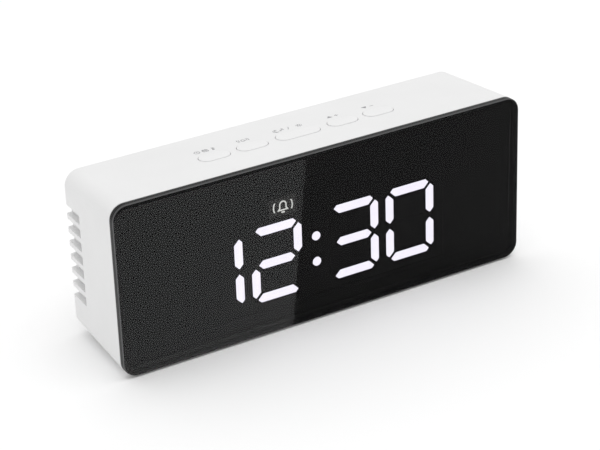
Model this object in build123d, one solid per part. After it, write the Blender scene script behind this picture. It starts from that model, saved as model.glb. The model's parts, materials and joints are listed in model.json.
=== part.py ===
"""Mirror-faced digital alarm clock, drawn in millimetres.

X runs along the clock's width, Y from the mirror (-Y) to the back (+Y) and Z up from the table.
The origin is on the table, under the middle of the whole clock. Each function makes one piece, or
one group of like pieces, and the last section writes each to its own file.
"""

import math
import os

from build123d import *

# ---------------------------------------------------------------- whole clock
PANEL_WIDTH = 144.0
PANEL_HEIGHT = 55.8
CLOCK_DEPTH = 35.4
FOOT_GAP = 0.6  # the mirror's lower edge above the table
PANEL_CORNER = 4.75
BACK_CORNER = 5.0
DRAFT = 1.5  # how far each side of the case draws in by its back face
WALL = 2.0
BACK_EDGE_ROUND = 0.9

# ---------------------------------------------------------------- layers, front to back
PANEL_THICKNESS = 2.0
TAPE_THICKNESS = 0.2
FRONT = -CLOCK_DEPTH / 2
PANEL_BACK = FRONT + PANEL_THICKNESS
CASE_FRONT = PANEL_BACK + TAPE_THICKNESS
CASE_BACK = CLOCK_DEPTH / 2
INNER_BACK = CASE_BACK - WALL
FRAME_BACK = CASE_FRONT + 2.0
REFLECTOR_FRONT = CASE_FRONT + 0.1
SEGMENT_FRONT = PANEL_BACK + 0.1
SEGMENT_BACK = SEGMENT_FRONT + 1.4
BOARD_FRONT = CASE_FRONT + 6.3
BOARD_BACK = BOARD_FRONT + 1.6

MIDDLE_Z = FOOT_GAP + PANEL_HEIGHT / 2

# ---------------------------------------------------------------- display
DIGIT_WIDTH = 17.8
DIGIT_HEIGHT = 25.0
DIGIT_BOTTOM = 10.7
DIGIT_LEFTS = (-46.8, -26.0, 1.85, 22.65)
STROKE = 2.7
CORNER_CUT = 2.8  # the digit's outer corners are cut at 45 degrees
MITRE_GAP = 0.85  # from the corner's diagonal to a segment's end, along the digit's edge
TIP_GAP = 0.95  # from the digit's middle line to an upright's point
BAR_INSET = 2.6  # from the digit's side to the middle bar's point
SEGMENT_ROUND = 0.15
COLON_X = -3.0
COLON_DOT = 2.85
COLON_HEIGHTS = (18.85, 27.55)
TIME_SHOWN = ("bc", "abdeg", "abcdg", "abcdef")
ICON_X = -14.4
ICON_Z = 40.7
ICON_STROKE = 0.4
ICON_WINDOW = (9.6, 5.8)
REFLECTOR = (-50.0, 44.0, 7.8, 47.4)  # left, right, bottom, top
WELL_PLAY = 0.06
LIGHT_CHIP = (1.6, 0.8, 0.6)  # length, width and height of one light-emitting chip

# ---------------------------------------------------------------- buttons
KEY_GROUP_X = 0.4
KEY_Y = -1.0
KEY_WIDTH = 5.5
SMALL_KEY = 10.3
LARGE_KEY = 15.2
KEYS = {
    "mode": (-29.4, SMALL_KEY),
    "alarm": (-16.2, SMALL_KEY),
    "snooze": (0.0, LARGE_KEY),
    "up": (16.2, SMALL_KEY),
    "down": (29.4, SMALL_KEY),
}
KEY_PLAY = 0.15
KEY_PROUD = 0.35
KEY_EDGE_ROUND = 0.3
KEY_STEM_RADIUS = 1.5
FLANGE_LIP = 0.95
FLANGE_TOP = 53.4
FLANGE_THICKNESS = 0.8
KEY_BOARD_TOP = 46.4
KEY_BOARD_THICKNESS = 1.6
KEY_BOARD_LENGTH = 85.0
KEY_BOARD_Y = (-5.6, 2.8)
SWITCH_SIZE = 6.0
SWITCH_TOP = 49.9
PLUNGER_RADIUS = 1.7
PLUNGER_TOP = 50.9
PLUNGER_BOTTOM = 48.7
KEY_POST_X = 39.0
KEY_POST_RADIUS = 2.5
RIBBON_X = (-5.6, 6.4)
RIBBON_BEND_Z = 41.2
RIBBON_THICKNESS = 0.4

# ---------------------------------------------------------------- side grooves
VENT_COUNT = 7
VENT_PITCH = 4.56
VENT_HEIGHT = 3.05
VENT_MIDDLE_Z = 29.0
VENT_FRONT_Y = 7.6
VENT_FLOOR_X = 68.6  # from the clock's middle to the grooves' floor
VENT_BACKING = 1.2  # the wall left behind the grooves

# ---------------------------------------------------------------- battery compartment
CELL_RADIUS = 5.2
CELL_BODY = 43.3
CELL_NUB = 1.0
CELL_NUB_RADIUS = 1.8
CELL_PITCH = 10.9
CELL_COUNT = 4
CELL_Y = 10.6
BATTERY_X = -18.0
BATTERY_LENGTH = 50.2
BATTERY_HEIGHT = CELL_PITCH * CELL_COUNT
BATTERY_FLOOR_Y = 5.1
BATTERY_WALL = 1.6
DOOR_LIP = 1.5
DOOR_THICKNESS = 1.6
DOOR_GAP = 0.25
DOOR_CORNER = 1.5
DOOR_HINGE_Z = MIDDLE_Z - BATTERY_HEIGHT / 2 - DOOR_LIP
TAB_WIDTH = 6.4
TAB_SPACING = 30.0
TAB_INNER_Y = 14.2
TAB_OUTER_Y = 15.8
TAB_REACH = 0.7  # how far a tab hooks below the compartment's edge
TAB_TOP = 1.9
TAB_PLAY = 0.6
LATCH_SLIT_X = 6.3
LATCH_LENGTH = 8.0
LATCH_PAD = (10.0, 5.4)
LATCH_SINK = 0.6
LATCH_RIBS = 4
LATCH_RIB_PITCH = 1.2
CONTACT_WIDTH = 8.4
PLATE_THICKNESS = 0.4
SPRING_WIRE = 0.3  # wire radius
SPRING_TURN = 1.35

# ---------------------------------------------------------------- power inlet
USB_X = 49.0
USB_Z = 11.7
USB_WIDTH = 7.6
USB_HEIGHT = 2.8
USB_DEPTH = 5.4
USB_MOUTH_Y = CASE_BACK - 1.2
POWER_BOARD_TOP = USB_Z - USB_HEIGHT / 2
POWER_BOARD_THICKNESS = 1.2
POWER_BOARD_X = (40.0, 58.0)
POWER_BOARD_Y = (2.5, 14.8)
POWER_POST_RADIUS = 2.2
POWER_POST_INSET = 2.5  # from the power board's edges to its posts' middles

# ---------------------------------------------------------------- posts, screws and feet
CASE_POST_X = 62.5
CASE_POST_Z = (9.2, 48.2)
CASE_POST_RADIUS = 3.8
CASE_POST_END = -9.9
SCREW_SEAT_Y = -7.4
SCREW_BORE_RADIUS = 2.7
FRAME_POST_RADIUS = 3.0
BOARD_POST_X = 53.0
BOARD_POST_Z = (10.2, 47.0)
BOARD_POST_RADIUS = 2.4
PILOT_RADIUS = 0.9  # the small screws' holes in plastic posts
BOARD_HOLE_RADIUS = 1.2
MAIN_BOARD = (-56.5, 56.5, 6.4, 50.6)
FOOT_RADIUS = 4.0
FOOT_PLACES = {
    "front_left": (-58.0, -9.5),
    "front_right": (58.0, -9.5),
    "back_left": (-58.0, 11.5),
    "back_right": (58.0, 11.5),
}
FOOT_SINK = 0.7  # how deep a foot sits in its pocket
LEAD_RADIUS = 0.55
LEAD_BEND = 1.2

# ---------------------------------------------------------------- parts on the main board
CHIP_Z = 26.0
CRYSTAL_PLACE = (-28.0, 36.0)
CRYSTAL_RADIUS = 1.5
CRYSTAL_LENGTH = 8.0
CAPACITOR_PLACES = ((20.0, 36.0), (28.0, 36.0))
CAPACITOR_RADIUS = 2.5
CAPACITOR_HEIGHT = 7.0
BUZZER_PLACE = (28.0, 18.0)
BUZZER_RADIUS = 6.0
BUZZER_HEIGHT = 7.5


# ---------------------------------------------------------------- helpers
def inset_at(y):
    """How far the case's outer faces have drawn in at this depth."""
    return DRAFT * (y - CASE_FRONT) / (CASE_BACK - CASE_FRONT)


def upright(y):
    """A sketch plane at this depth, with X to the right and Z up."""
    return Plane(origin=(0, y, 0), x_dir=(1, 0, 0), z_dir=(0, -1, 0))


def slab(outline, y_from, y_to):
    """An outline in X and Z made solid between two depths."""
    return extrude(upright(y_to) * outline, amount=y_to - y_from)


def layer(outline, z_from, z_to):
    """An outline in X and Y made solid between two heights."""
    return extrude(Pos(0, 0, z_from) * outline, amount=z_to - z_from)


def block(x_from, x_to, y_from, y_to, z_from, z_to):
    """A box given by its limits."""
    centre = Pos((x_from + x_to) / 2, (y_from + y_to) / 2, (z_from + z_to) / 2)
    return centre * Box(x_to - x_from, y_to - y_from, z_to - z_from)


def rod(radius, x, z, y_from, y_to):
    """A round bar along Y."""
    return slab(Pos(x, z) * Circle(radius), y_from, y_to)


def pillar(radius, x, y, z_from, z_to):
    """A round bar along Z."""
    return layer(Pos(x, y) * Circle(radius), z_from, z_to)


def case_section(y, shrink):
    """The case's rounded outline at a depth, drawn in by shrink all round."""
    share = (y - CASE_FRONT) / (CASE_BACK - CASE_FRONT)
    corner = PANEL_CORNER + (BACK_CORNER - PANEL_CORNER) * share - shrink
    width = PANEL_WIDTH - 2 * (inset_at(y) + shrink)
    height = PANEL_HEIGHT - 2 * (inset_at(y) + shrink)
    return upright(y) * Pos(0, MIDDLE_Z) * RectangleRounded(width, height, corner)


def case_body(y_from, y_to, shrink):
    """The case's tapering body between two depths."""
    return loft([case_section(y_from, shrink), case_section(y_to, shrink)], ruled=True)


def framed(left, right, bottom, top):
    """A rectangle in X and Z given by its limits."""
    return Pos((left + right) / 2, (bottom + top) / 2) * Rectangle(right - left, top - bottom)


def corners(x, heights):
    """The four places at plus and minus x and at two heights."""
    return [(side * x, z) for side in (-1, 1) for z in heights]


def key_posts():
    """The middles in X and Y of the two posts that hold the button board."""
    return [(KEY_GROUP_X + side * KEY_POST_X, sum(KEY_BOARD_Y) / 2) for side in (-1, 1)]


def power_posts():
    """The middles in X and Y of the two posts that hold the power board."""
    y = POWER_BOARD_Y[0] + POWER_POST_INSET
    return [(POWER_BOARD_X[0] + POWER_POST_INSET, y), (POWER_BOARD_X[1] - POWER_POST_INSET, y)]


def key_place(name):
    """A button's middle in X, and its length."""
    offset, length = KEYS[name]
    return KEY_GROUP_X + offset, length


def screw(radius, head_radius, head, shank):
    """A pan-head screw standing on its tip along Z, with its seat at height 0 and a cross recess."""
    cap = Pos(0, 0, head / 2) * Cylinder(head_radius, head)
    cap = fillet(cap.edges().group_by(Axis.Z)[-1], head * 0.45)
    body = cap + Pos(0, 0, -shank / 2) * Cylinder(radius, shank)
    body = chamfer(body.edges().group_by(Axis.Z)[0], radius * 0.5)
    arm = head_radius * 1.1
    cut = Box(arm, arm * 0.22, head) + Box(arm * 0.22, arm, head)
    return body - Pos(0, 0, head) * cut


# ---------------------------------------------------------------- case
def vents():
    """The grooves in both sides, which run out through the back."""
    cuts = []
    for index in range(VENT_COUNT):
        z = VENT_MIDDLE_Z + (index - (VENT_COUNT - 1) / 2) * VENT_PITCH
        for side in (-1, 1):
            near, far = sorted((side * VENT_FLOOR_X, side * PANEL_WIDTH / 2))
            low, high = z - VENT_HEIGHT / 2, z + VENT_HEIGHT / 2
            cuts.append(block(near, far, VENT_FRONT_Y, CASE_BACK + 1, low, high))
    return cuts


def vent_backings():
    """The thicker walls inside the case behind the grooves."""
    half = VENT_COUNT * VENT_PITCH / 2
    walls = []
    for side in (-1, 1):
        near, far = sorted((side * (VENT_FLOOR_X - VENT_BACKING), side * (VENT_FLOOR_X + VENT_BACKING)))
        low, high = VENT_MIDDLE_Z - half, VENT_MIDDLE_Z + half
        walls.append(block(near, far, VENT_FRONT_Y - VENT_BACKING, INNER_BACK, low, high))
    return walls


def battery_outline(grow, corner):
    """The compartment's outline in X and Z, grown all round."""
    shape = RectangleRounded(BATTERY_LENGTH + 2 * grow, BATTERY_HEIGHT + 2 * grow, corner)
    return Pos(BATTERY_X, MIDDLE_Z) * shape


def tab_places():
    """The middles in X of the battery door's two tabs."""
    return (BATTERY_X - TAB_SPACING / 2, BATTERY_X + TAB_SPACING / 2)


def foot_pocket_top(y):
    """The height of a foot's pocket floor at this depth."""
    return FOOT_GAP + inset_at(y) + FOOT_SINK


def make_housing():
    """The white case: one tapering tub, open to the front."""
    shell = case_body(CASE_FRONT, CASE_BACK, 0)
    shell = fillet(shell.faces().sort_by(Axis.Y)[-1].edges(), BACK_EDGE_ROUND)
    shell -= case_body(CASE_FRONT, INNER_BACK, WALL)
    shell += slab(battery_outline(BATTERY_WALL, 1.0), BATTERY_FLOOR_Y - 1.2, INNER_BACK)
    for x, z in corners(CASE_POST_X, CASE_POST_Z):
        shell += rod(CASE_POST_RADIUS, x, z, CASE_POST_END, INNER_BACK)
    for wall in vent_backings():
        shell += wall
    for x, y in key_posts():
        shell += pillar(KEY_POST_RADIUS, x, y, KEY_BOARD_TOP, FLANGE_TOP + 1)
        shell -= pillar(PILOT_RADIUS, x, y, KEY_BOARD_TOP, KEY_BOARD_TOP + 5)
    floor = POWER_BOARD_TOP - POWER_BOARD_THICKNESS
    for x, y in power_posts():
        shell += pillar(POWER_POST_RADIUS, x, y, FOOT_GAP + WALL, floor)
        shell -= pillar(PILOT_RADIUS, x, y, floor - 3.5, floor)
    shell -= slab(battery_outline(0, 0.5), BATTERY_FLOOR_Y, CASE_BACK + 1)
    shell -= slab(battery_outline(DOOR_LIP, DOOR_CORNER), CASE_BACK - DOOR_THICKNESS - 0.1, CASE_BACK + 1)
    for x in tab_places():
        half = (TAB_WIDTH + TAB_PLAY) / 2
        low = DOOR_HINGE_Z - TAB_REACH - TAB_PLAY / 2
        shell -= block(x - half, x + half, TAB_INNER_Y - TAB_PLAY, CASE_BACK - DOOR_THICKNESS, low, low + 4)
    for x, z in corners(CASE_POST_X, CASE_POST_Z):
        shell -= rod(SCREW_BORE_RADIUS, x, z, SCREW_SEAT_Y, CASE_BACK + 1)
        shell -= rod(1.45, x, z, CASE_POST_END - 1, SCREW_SEAT_Y)
    for name in KEYS:
        x, length = key_place(name)
        hole = SlotOverall(length + 2 * KEY_PLAY, KEY_WIDTH + 2 * KEY_PLAY)
        shell -= layer(Pos(x, KEY_Y) * hole, FLANGE_TOP - 1, FOOT_GAP + PANEL_HEIGHT + 1)
    for cut in vents():
        shell -= cut
    mouth = Pos(USB_X, USB_Z) * RectangleRounded(USB_WIDTH + 2.4, USB_HEIGHT + 2.4, 1.2)
    shell -= slab(mouth, INNER_BACK - 1, CASE_BACK + 1)
    for x, y in FOOT_PLACES.values():
        shell -= pillar(FOOT_RADIUS + 0.1, x, y, 0, foot_pocket_top(y))
    return shell


def make_front_frame():
    """The inner plate that closes the case's mouth and carries the display and the main board."""
    plate = slab(
        Pos(0, MIDDLE_Z) * RectangleRounded(PANEL_WIDTH - 2 * WALL - 0.5, PANEL_HEIGHT - 2 * WALL - 0.5, 2.5),
        CASE_FRONT,
        FRAME_BACK,
    )
    left, right, bottom, top = REFLECTOR
    plate -= slab(framed(left - 0.4, right + 0.4, bottom - 0.4, top + 0.4), CASE_FRONT, FRAME_BACK)
    for x, z in corners(CASE_POST_X, CASE_POST_Z):
        plate += rod(FRAME_POST_RADIUS, x, z, FRAME_BACK, CASE_POST_END - 0.1)
        plate -= rod(1.3, x, z, CASE_FRONT + 0.6, CASE_POST_END)
    for x, z in corners(BOARD_POST_X, BOARD_POST_Z):
        plate += rod(BOARD_POST_RADIUS, x, z, FRAME_BACK, BOARD_FRONT)
        plate -= rod(PILOT_RADIUS, x, z, CASE_FRONT + 0.6, BOARD_FRONT)
    return plate


def make_mirror_panel():
    """The half-mirror acrylic front with its polished edge."""
    plate = slab(
        Pos(0, MIDDLE_Z) * RectangleRounded(PANEL_WIDTH, PANEL_HEIGHT, PANEL_CORNER), FRONT, PANEL_BACK
    )
    return chamfer(plate.faces().sort_by(Axis.Y)[0].edges(), 0.3)


def make_panel_tape():
    """The ring of double-sided tape that holds the mirror to the case and frame."""
    outer = RectangleRounded(PANEL_WIDTH - 0.9, PANEL_HEIGHT - 0.9, PANEL_CORNER - 0.45)
    inner = RectangleRounded(PANEL_WIDTH - 11, PANEL_HEIGHT - 11, 1.0)
    return slab(Pos(0, MIDDLE_Z) * (outer - inner), PANEL_BACK, CASE_FRONT)


# ---------------------------------------------------------------- display
def segment_outlines():
    """The seven segments of one digit, drawn from its lower left corner, by letter."""
    wide, high, thick = DIGIT_WIDTH, DIGIT_HEIGHT, STROKE
    cut, gap, half = CORNER_CUT, MITRE_GAP, STROKE / 2
    knee = (cut + gap) / 2
    bar = [
        (cut, high),
        (wide - cut, high),
        (wide - knee, high - (cut - knee)),
        (wide - thick - gap, high - thick),
        (thick + gap, high - thick),
        (knee, high - (cut - knee)),
    ]
    post = [
        (0, high - cut),
        (cut - knee, high - knee),
        (thick, high - thick - gap),
        (thick, high / 2 + TIP_GAP + half),
        (half, high / 2 + TIP_GAP),
        (0, high / 2 + TIP_GAP + half),
    ]
    middle = [
        (BAR_INSET, high / 2),
        (BAR_INSET + half, high / 2 + half),
        (wide - BAR_INSET - half, high / 2 + half),
        (wide - BAR_INSET, high / 2),
        (wide - BAR_INSET - half, high / 2 - half),
        (BAR_INSET + half, high / 2 - half),
    ]

    def mirrored(points, across, over):
        return [(wide - x if across else x, high - z if over else z) for x, z in points]

    points = {
        "a": bar,
        "b": mirrored(post, True, False),
        "c": mirrored(post, True, True),
        "d": mirrored(bar, False, True),
        "e": mirrored(post, False, True),
        "f": post,
        "g": middle,
    }
    shapes = {}
    for letter, corner_points in points.items():
        face = make_face(Polyline(*corner_points, close=True))
        shapes[letter] = fillet(face.vertices(), SEGMENT_ROUND)
    return shapes


def display_outlines():
    """Every light on the display: its outline in X and Z, and whether it is lit."""
    shapes = segment_outlines()
    lights = []
    for left, shown in zip(DIGIT_LEFTS, TIME_SHOWN):
        for letter, shape in shapes.items():
            lights.append((Pos(left, DIGIT_BOTTOM) * shape, letter in shown))
    for z in COLON_HEIGHTS:
        lights.append((Pos(COLON_X, z) * Circle(COLON_DOT / 2), True))
    return lights


def icon_window():
    """The small window that the alarm sign shows in."""
    return Pos(ICON_X, ICON_Z) * RectangleRounded(*ICON_WINDOW, 0.5)


def make_display_reflector():
    """The black block whose wells keep each segment's light apart."""
    plate = slab(framed(*REFLECTOR), REFLECTOR_FRONT, BOARD_FRONT)
    for outline, _ in display_outlines():
        plate -= slab(offset(outline, WELL_PLAY), REFLECTOR_FRONT - 1, BOARD_FRONT + 1)
    return plate - slab(offset(icon_window(), WELL_PLAY), REFLECTOR_FRONT - 1, BOARD_FRONT + 1)


def make_segments(lit):
    """The diffusers of all segments that are lit, or of all that are not."""
    chosen = [outline for outline, on in display_outlines() if on == lit]
    return Compound(children=[slab(outline, SEGMENT_FRONT, SEGMENT_BACK) for outline in chosen])


def make_icon_diffuser():
    """The smoked diffuser behind the alarm sign."""
    return slab(icon_window(), SEGMENT_FRONT + 0.1, SEGMENT_BACK)


def make_alarm_icon():
    """A ringing bell in thin strokes: dome, clapper and an arc on each side."""
    dome = make_face(
        Polyline((-1.3, 0.6), (-1.3, -0.4), (-2.0, -1.3), (2.0, -1.3), (1.3, -0.4), (1.3, 0.6))
        + ThreePointArc((1.3, 0.6), (0, 1.9), (-1.3, 0.6))
    )
    strokes = [dome - offset(dome, -ICON_STROKE)]
    strokes.append(Pos(0, -1.85) * RectangleRounded(1.2, 0.5, 0.2))
    ring = Circle(3.5) - Circle(3.5 - ICON_STROKE)
    for side in (-1, 1):
        strokes.append(ring & Pos(side * 3.5, 0.1) * Rectangle(2.4, 3.1))
    window = Pos(ICON_X, ICON_Z)
    return Compound(children=[slab(window * s, SEGMENT_FRONT, SEGMENT_FRONT + 0.1) for s in strokes])


def make_display_leds():
    """One small light-emitting chip on the board behind each segment and the sign."""
    chips = []
    for outline, _ in display_outlines() + [(icon_window(), True)]:
        middle = outline.bounding_box().center()
        length, width, height = LIGHT_CHIP
        chip = Pos(middle.X, middle.Y) * Rectangle(length, width)
        chips.append(slab(chip, BOARD_FRONT - height, BOARD_FRONT))
    return Compound(children=chips)


# ---------------------------------------------------------------- boards and their parts
def make_main_board():
    """The main circuit board, upright behind the display."""
    plate = slab(framed(*MAIN_BOARD), BOARD_FRONT, BOARD_BACK)
    for x, z in corners(BOARD_POST_X, BOARD_POST_Z):
        plate -= rod(BOARD_HOLE_RADIUS, x, z, BOARD_FRONT - 1, BOARD_BACK + 1)
    return plate


def gull_wing_chip(length, width, height, pins, x, z):
    """A flat chip on the main board's back with a row of legs above and below."""
    body = slab(Pos(x, z) * Rectangle(length, width), BOARD_BACK + 0.15, BOARD_BACK + height)
    body = chamfer(body.edges().group_by(Axis.Y)[-1], 0.25)
    pitch = (length - 1.2) / (pins - 1)
    for index in range(pins):
        leg_x = x + (index - (pins - 1) / 2) * pitch
        legs = framed(leg_x - 0.2, leg_x + 0.2, z - width / 2 - 1.2, z + width / 2 + 1.2)
        body += slab(legs, BOARD_BACK, BOARD_BACK + 0.2)
        shins = framed(leg_x - 0.2, leg_x + 0.2, z - width / 2 - 0.4, z + width / 2 + 0.4)
        body += slab(shins, BOARD_BACK, BOARD_BACK + height / 2)
    return body


def make_main_chip():
    """The clock's controller."""
    return gull_wing_chip(17.9, 7.5, 2.4, 14, -28.0, CHIP_Z)


def make_driver_chip():
    """The display's driver."""
    return gull_wing_chip(9.9, 3.9, 1.7, 8, 2.0, CHIP_Z)


def make_crystal():
    """The watch crystal: a small can lying on the board."""
    x, z = CRYSTAL_PLACE
    can = Pos(x, BOARD_BACK + CRYSTAL_RADIUS, z) * Rot(0, 90, 0) * Cylinder(CRYSTAL_RADIUS, CRYSTAL_LENGTH)
    return fillet(can.edges(), 0.3)


def make_capacitors():
    """Two electrolytic capacitors standing on the board's back."""
    cans = []
    for x, z in CAPACITOR_PLACES:
        can = rod(CAPACITOR_RADIUS, x, z, BOARD_BACK, BOARD_BACK + CAPACITOR_HEIGHT)
        cans.append(fillet(can.edges().group_by(Axis.Y)[-1], 0.4))
    return Compound(children=cans)


def make_buzzer():
    """The round alarm buzzer with its sound hole."""
    x, z = BUZZER_PLACE
    top = BOARD_BACK + BUZZER_HEIGHT
    can = rod(BUZZER_RADIUS, x, z, BOARD_BACK, top)
    can = fillet(can.edges().group_by(Axis.Y)[-1], 0.5)
    return can - rod(1.2, x, z, top - 2.5, top + 1)


def make_key_board():
    """The narrow board under the buttons."""
    middle_y = sum(KEY_BOARD_Y) / 2
    outline = Rectangle(KEY_BOARD_LENGTH, KEY_BOARD_Y[1] - KEY_BOARD_Y[0])
    plate = layer(
        Pos(KEY_GROUP_X, middle_y) * outline, KEY_BOARD_TOP - KEY_BOARD_THICKNESS, KEY_BOARD_TOP
    )
    for x, y in key_posts():
        plate -= pillar(BOARD_HOLE_RADIUS, x, y, KEY_BOARD_TOP - 5, KEY_BOARD_TOP + 1)
    return plate


def make_switch_bodies():
    """The five tactile switches' bodies, each with a well for its plunger."""
    bodies = []
    for name in KEYS:
        x, _ = key_place(name)
        half = SWITCH_SIZE / 2
        body = block(x - half, x + half, KEY_Y - half, KEY_Y + half, KEY_BOARD_TOP, SWITCH_TOP)
        body = chamfer(body.edges().filter_by(Axis.Z), 0.6)
        well_bottom = PLUNGER_BOTTOM - 0.8
        bodies.append(body - pillar(PLUNGER_RADIUS + 0.06, x, KEY_Y, well_bottom, SWITCH_TOP + 1))
    return Compound(children=bodies)


def make_plunger(name):
    """One switch's plunger, which moves with its button."""
    x, _ = key_place(name)
    stem = pillar(PLUNGER_RADIUS, x, KEY_Y, PLUNGER_BOTTOM, PLUNGER_TOP)
    return chamfer(stem.edges().group_by(Axis.Z)[-1], 0.2)


def make_button(name):
    """One button: a stadium cap that follows the case's slope, its flange and its stem."""
    x, length = key_place(name)
    top = FOOT_GAP + PANEL_HEIGHT - inset_at(KEY_Y) + KEY_PROUD
    slope = math.degrees(math.atan2(DRAFT, CASE_BACK - CASE_FRONT))
    cap = layer(Pos(x, KEY_Y) * SlotOverall(length, KEY_WIDTH), FLANGE_TOP, top + 2)
    cap -= Pos(x, KEY_Y, top) * Rot(-slope, 0, 0) * Pos(0, 0, 5) * Box(40, 40, 10)
    cap = fillet(cap.edges().group_by(Axis.Z)[-1], KEY_EDGE_ROUND)
    flange_shape = SlotOverall(length + 2 * FLANGE_LIP, KEY_WIDTH + 2 * FLANGE_LIP)
    flange = layer(Pos(x, KEY_Y) * flange_shape, FLANGE_TOP - FLANGE_THICKNESS, FLANGE_TOP)
    stem = pillar(KEY_STEM_RADIUS, x, KEY_Y, PLUNGER_TOP, FLANGE_TOP - FLANGE_THICKNESS)
    return cap + flange + stem


def make_key_ribbon():
    """The flat cable from the button board down to the main board."""
    start = KEY_BOARD_TOP - KEY_BOARD_THICKNESS
    low = RIBBON_BEND_Z
    thick = RIBBON_THICKNESS
    y = -3.0
    profile = [(y - thick, start), (y - thick, low + thick), (BOARD_BACK, low + thick), (BOARD_BACK, low)]
    profile += [(y, low), (y, start)]
    left, right = RIBBON_X
    side = Plane(origin=(left, 0, 0), x_dir=(0, 1, 0), z_dir=(1, 0, 0))
    return extrude(side * make_face(Polyline(*profile, close=True)), amount=right - left)


# ---------------------------------------------------------------- power
def make_power_board():
    """The small board that carries the power socket."""
    plate = block(
        *POWER_BOARD_X, *POWER_BOARD_Y, POWER_BOARD_TOP - POWER_BOARD_THICKNESS, POWER_BOARD_TOP
    )
    for x, y in power_posts():
        plate -= pillar(BOARD_HOLE_RADIUS, x, y, POWER_BOARD_TOP - 5, POWER_BOARD_TOP + 1)
    return plate


def usb_outline(grow):
    """The socket's mouth: a flat shape with its two lower corners cut."""
    wide, high = USB_WIDTH / 2 + grow, USB_HEIGHT / 2 + grow
    points = [(-wide, high), (wide, high), (wide, -high / 3), (wide - 1.2, -high), (1.2 - wide, -high)]
    points.append((-wide, -high / 3))
    return Pos(USB_X, USB_Z) * make_face(Polyline(*points, close=True))


def make_usb_socket():
    """The power socket's folded metal shell."""
    shell = slab(usb_outline(0), USB_MOUTH_Y - USB_DEPTH, USB_MOUTH_Y)
    return shell - slab(usb_outline(-0.3), USB_MOUTH_Y - USB_DEPTH + 0.4, USB_MOUTH_Y + 1)


def make_usb_tongue():
    """The contact tongue inside the power socket."""
    shape = Pos(USB_X, USB_Z + 0.25) * Rectangle(4.4, 0.7)
    return slab(shape, USB_MOUTH_Y - USB_DEPTH + 0.4, USB_MOUTH_Y - 0.8)


def make_battery_door():
    """The battery door: plate, thumb latch with ribs and two tabs behind the lower edge."""
    inner_y = CASE_BACK - DOOR_THICKNESS
    door = slab(battery_outline(DOOR_LIP - DOOR_GAP, DOOR_CORNER - DOOR_GAP), inner_y, CASE_BACK)
    top = MIDDLE_Z + BATTERY_HEIGHT / 2 + DOOR_LIP - DOOR_GAP
    for side in (-1, 1):
        slit = Pos(BATTERY_X + side * LATCH_SLIT_X, top - LATCH_LENGTH / 2) * Rectangle(0.6, LATCH_LENGTH)
        door -= slab(slit, inner_y - 1, CASE_BACK + 1)
    sunk = CASE_BACK - LATCH_SINK
    door -= slab(Pos(BATTERY_X, top - 3.9) * Rectangle(*LATCH_PAD), sunk, CASE_BACK + 1)
    for step in range(LATCH_RIBS):
        rib = Pos(BATTERY_X, top - 5.7 + step * LATCH_RIB_PITCH) * Rectangle(LATCH_PAD[0] - 1, 0.5)
        door += slab(rib, sunk, CASE_BACK - 0.1)
    bottom = DOOR_HINGE_Z - TAB_REACH
    shoulder = DOOR_HINGE_Z + 0.4
    for x in tab_places():
        left, right = x - TAB_WIDTH / 2, x + TAB_WIDTH / 2
        door += block(left, right, TAB_INNER_Y, inner_y, shoulder, DOOR_HINGE_Z + TAB_TOP)
        door += block(left, right, TAB_INNER_Y, TAB_OUTER_Y, bottom, DOOR_HINGE_Z + TAB_TOP)
    return door


def cell_rows():
    """Each cell's height and the direction of its raised end, lowest first."""
    base = MIDDLE_Z - BATTERY_HEIGHT / 2 + CELL_PITCH / 2
    return [(base + index * CELL_PITCH, 1 if index % 2 == 0 else -1) for index in range(CELL_COUNT)]


def along_battery(side, distance):
    """The X of a point this far in from one end of the compartment."""
    return BATTERY_X + side * (BATTERY_LENGTH / 2 - distance)


def make_cell(z, side):
    """One AAA cell lying along X, with its raised end to one side."""
    tip = along_battery(side, PLATE_THICKNESS)
    lie = Rot(0, 90, 0)
    nub = Pos(tip - side * CELL_NUB / 2, CELL_Y, z) * lie * Cylinder(CELL_NUB_RADIUS, CELL_NUB)
    middle = tip - side * (CELL_NUB + CELL_BODY / 2)
    can = Pos(middle, CELL_Y, z) * lie * Cylinder(CELL_RADIUS, CELL_BODY)
    return fillet(can.edges(), 0.5) + nub


def contact_face(z, side, width, height):
    """One contact plate standing against an end wall of the compartment."""
    near, far = sorted((along_battery(side, 0), along_battery(side, PLATE_THICKNESS)))
    return block(near, far, CELL_Y - width / 2, CELL_Y + width / 2, z - height / 2, z + height / 2)


def make_contact_plates():
    """The plates: single ones where the leads start, and bridges between neighbouring cells."""
    heights = [z for z, _ in cell_rows()]
    wide = CONTACT_WIDTH
    bridge = CELL_PITCH + wide
    pairs = [(heights[0] + heights[1]) / 2, (heights[2] + heights[3]) / 2]
    plates = [contact_face(z, 1, wide, wide) for z in (heights[0], heights[3])]
    plates.append(contact_face((heights[1] + heights[2]) / 2, 1, wide, bridge))
    plates += [contact_face(z, -1, wide, bridge) for z in pairs]
    return Compound(children=plates)


def make_contact_springs():
    """The coil springs that press on the cells' flat ends."""
    room = BATTERY_LENGTH - 2 * PLATE_THICKNESS - CELL_BODY - CELL_NUB
    height = room - 2 * SPRING_WIRE - 0.1
    springs = []
    for z, side in cell_rows():
        coil = Helix(pitch=SPRING_TURN, height=height, radius=3.4)
        wire = sweep(Plane(origin=coil @ 0, z_dir=coil % 0) * Circle(SPRING_WIRE), path=coil, is_frenet=True)
        start = along_battery(-side, PLATE_THICKNESS + SPRING_WIRE + 0.05)
        springs.append(Pos(start, CELL_Y, z) * Rot(0, 90 * side, 0) * wire)
    return Compound(children=springs)


def make_lead(points, bend):
    """One insulated wire along straight runs joined by arcs."""
    path = FilletPolyline(*points, radius=bend)
    return sweep(Plane(origin=path @ 0, z_dir=path % 0) * Circle(LEAD_RADIUS), path=path)


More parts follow.
